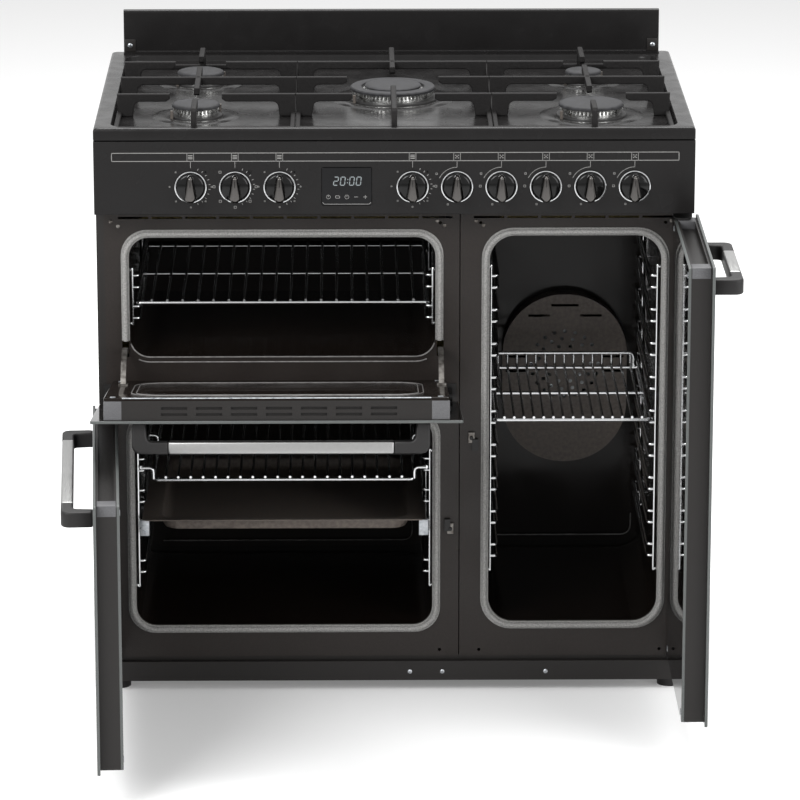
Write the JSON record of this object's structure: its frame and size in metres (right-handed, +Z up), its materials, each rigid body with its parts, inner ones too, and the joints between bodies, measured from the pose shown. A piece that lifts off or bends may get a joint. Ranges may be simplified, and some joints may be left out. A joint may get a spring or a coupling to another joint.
{
  "type": "range cooker with double oven",
  "caption": "Free-standing range cooker with gas burners, a drop-down grill door, a main oven and a tall fan oven, shown with its doors open.",
  "frame": {"origin": "on the floor, in the middle of the closed cooker's footprint", "axes": "+Z up, +X to the cook's right, +Y to the wall behind"},
  "size_m": [1.0068, 1.1216, 0.969],
  "materials": {
    "black_enamel": "black vitreous enamel, glossy",
    "black_paint": "black baked paint, satin",
    "cavity_enamel": "speckled dark enamel, semi-gloss",
    "galvanised": "galvanised sheet",
    "cast_iron": "matt black enamelled casting",
    "alloy": "die-cast, satin",
    "chrome": "bright plated wire",
    "zinc": "zinc-plated steel",
    "brushed_alu": "brushed, satin",
    "satin_metal": "satin plated knob",
    "seal": "woven heat-resistant seal, matt",
    "wool": "mineral wool",
    "brass": "machined brass and copper pipe",
    "ceramic": "white ceramic",
    "plastic_black": "matt moulded",
    "plastic_beige": "moulded phenolic",
    "clock_glass": "smoked display window",
    "door_glass": "black enamelled glass",
    "inner_glass": "dark tempered glass",
    "lamp_glass": "clear lamp glass",
    "element": "oxidised sheathed heater"
  },
  "bodies": {
    "carcass": {"side_panels": "black_paint", "rear_panel": "galvanised", "base_tray": "galvanised", "plinth": "black_paint", "levelling_feet": "plastic_black", "left_front_frame": "black_enamel", "right_front_frame": "black_enamel", "grill_cavity": "cavity_enamel", "main_cavity": "cavity_enamel", "tall_cavity": "cavity_enamel", "insulation": "wool", "hob_plate": "black_enamel", "upstand": "black_enamel", "control_panel": "black_enamel", "clock_module": "clock_glass", "door_seals": "seal", "gas_rail": "brass", "switches_and_terminals": "plastic_beige", "burner_crowns": "alloy", "burner_caps": "cast_iron", "spark_igniters": "ceramic", "heating_elements": "element", "fan_baffle": "cavity_enamel", "fan_motor": "zinc", "left_oven_ladders": "chrome", "tall_ladder_left": "chrome", "tall_ladder_right": "chrome", "oven_lamps": "lamp_glass", "door_hardware": "zinc"},
    "grill_door": {"grill_door_frame": "black_paint", "grill_door_outer_glass": "door_glass", "grill_door_inner_panel": "black_enamel", "grill_door_handle": "brushed_alu", "grill_hinge_arms": "zinc"},
    "main_door": {"main_door_frame": "black_paint", "main_door_outer_glass": "door_glass", "main_door_inner_glass": "inner_glass", "main_door_handle": "brushed_alu"},
    "tall_door": {"tall_door_frame": "black_paint", "tall_door_outer_glass": "door_glass", "tall_door_inner_glass": "inner_glass", "tall_door_handle": "brushed_alu"},
    "knob_grill": {"knob_grill": "satin_metal"},
    "knob_main_oven": {"knob_main_oven": "satin_metal"},
    "knob_tall_oven": {"knob_tall_oven": "satin_metal"},
    "knob_light": {"knob_light": "satin_metal"},
    "knob_rear_left": {"knob_rear_left": "satin_metal"},
    "knob_front_left": {"knob_front_left": "satin_metal"},
    "knob_wok": {"knob_wok": "satin_metal"},
    "knob_rear_right": {"knob_rear_right": "satin_metal"},
    "knob_front_right": {"knob_front_right": "satin_metal"},
    "grill_shelf": {"grill_shelf": "chrome"},
    "main_shelf": {"main_shelf": "chrome", "main_shelf_hangers": "chrome"},
    "baking_tray": {"baking_tray": "black_enamel"},
    "tall_shelf": {"tall_shelf": "chrome"},
    "pan_support_left": {"pan_support_left": "cast_iron"},
    "pan_support_centre": {"pan_support_centre": "cast_iron"},
    "pan_support_right": {"pan_support_right": "cast_iron"},
    "fan_wheel": {"fan_blade": "zinc"}
  },
  "joints": [
    {"name": "grill_door_hinge", "type": "hinge", "parent": "carcass", "child": "grill_door", "pos_m": [0, -0.288, 0.48], "axis": [1, 0, 0], "range_deg": [-80, 0]},
    {"name": "main_door_hinge", "type": "hinge", "parent": "carcass", "child": "main_door", "pos_m": [-0.434, -0.275, 0.26], "axis": [0, 0, -1], "range_deg": [-87, 0]},
    {"name": "tall_door_hinge", "type": "hinge", "parent": "carcass", "child": "tall_door", "pos_m": [0.434, -0.275, 0.41], "axis": [0, 0, 1], "range_deg": [-90, 0]},
    {"name": "knob_grill_turn", "type": "hinge", "parent": "carcass", "child": "knob_grill", "pos_m": [-0.305, -0.29, 0.811], "axis": [0, 1, 0], "range_deg": [0, 210]},
    {"name": "knob_main_oven_turn", "type": "hinge", "parent": "carcass", "child": "knob_main_oven", "pos_m": [-0.2385, -0.29, 0.811], "axis": [0, 1, 0], "range_deg": [0, 210]},
    {"name": "knob_tall_oven_turn", "type": "hinge", "parent": "carcass", "child": "knob_tall_oven", "pos_m": [-0.172, -0.29, 0.811], "axis": [0, 1, 0], "range_deg": [0, 210]},
    {"name": "knob_light_turn", "type": "hinge", "parent": "carcass", "child": "knob_light", "pos_m": [0.027, -0.29, 0.811], "axis": [0, 1, 0], "range_deg": [0, 180]},
    {"name": "knob_rear_left_turn", "type": "hinge", "parent": "carcass", "child": "knob_rear_left", "pos_m": [0.0935, -0.29, 0.811], "axis": [0, 1, 0], "range_deg": [0, 240]},
    {"name": "knob_front_left_turn", "type": "hinge", "parent": "carcass", "child": "knob_front_left", "pos_m": [0.16, -0.29, 0.811], "axis": [0, 1, 0], "range_deg": [0, 240]},
    {"name": "knob_wok_turn", "type": "hinge", "parent": "carcass", "child": "knob_wok", "pos_m": [0.2265, -0.29, 0.811], "axis": [0, 1, 0], "range_deg": [0, 240]},
    {"name": "knob_rear_right_turn", "type": "hinge", "parent": "carcass", "child": "knob_rear_right", "pos_m": [0.293, -0.29, 0.811], "axis": [0, 1, 0], "range_deg": [0, 240]},
    {"name": "knob_front_right_turn", "type": "hinge", "parent": "carcass", "child": "knob_front_right", "pos_m": [0.3595, -0.29, 0.811], "axis": [0, 1, 0], "range_deg": [0, 240]},
    {"name": "fan_spin", "type": "hinge", "parent": "carcass", "child": "fan_wheel", "pos_m": [0.278, 0.2, 0.419], "axis": [0, 1, 0], "continuous": true},
    {"name": "grill_shelf_slide", "type": "slide", "parent": "carcass", "child": "grill_shelf", "axis": [0, -1, 0], "range_m": [0, 0.3]},
    {"name": "main_shelf_slide", "type": "slide", "parent": "carcass", "child": "main_shelf", "axis": [0, -1, 0], "range_m": [0, 0.3]},
    {"name": "baking_tray_slide", "type": "slide", "parent": "carcass", "child": "baking_tray", "axis": [0, -1, 0], "range_m": [0, 0.3]},
    {"name": "tall_shelf_slide", "type": "slide", "parent": "carcass", "child": "tall_shelf", "axis": [0, -1, 0], "range_m": [0, 0.3]},
    {"name": "pan_support_left_lift", "type": "slide", "parent": "carcass", "child": "pan_support_left", "axis": [0, 0, 1], "range_m": [0, 0.12]},
    {"name": "pan_support_centre_lift", "type": "slide", "parent": "carcass", "child": "pan_support_centre", "axis": [0, 0, 1], "range_m": [0, 0.12]},
    {"name": "pan_support_right_lift", "type": "slide", "parent": "carcass", "child": "pan_support_right", "axis": [0, 0, 1], "range_m": [0, 0.12]}
  ]
}
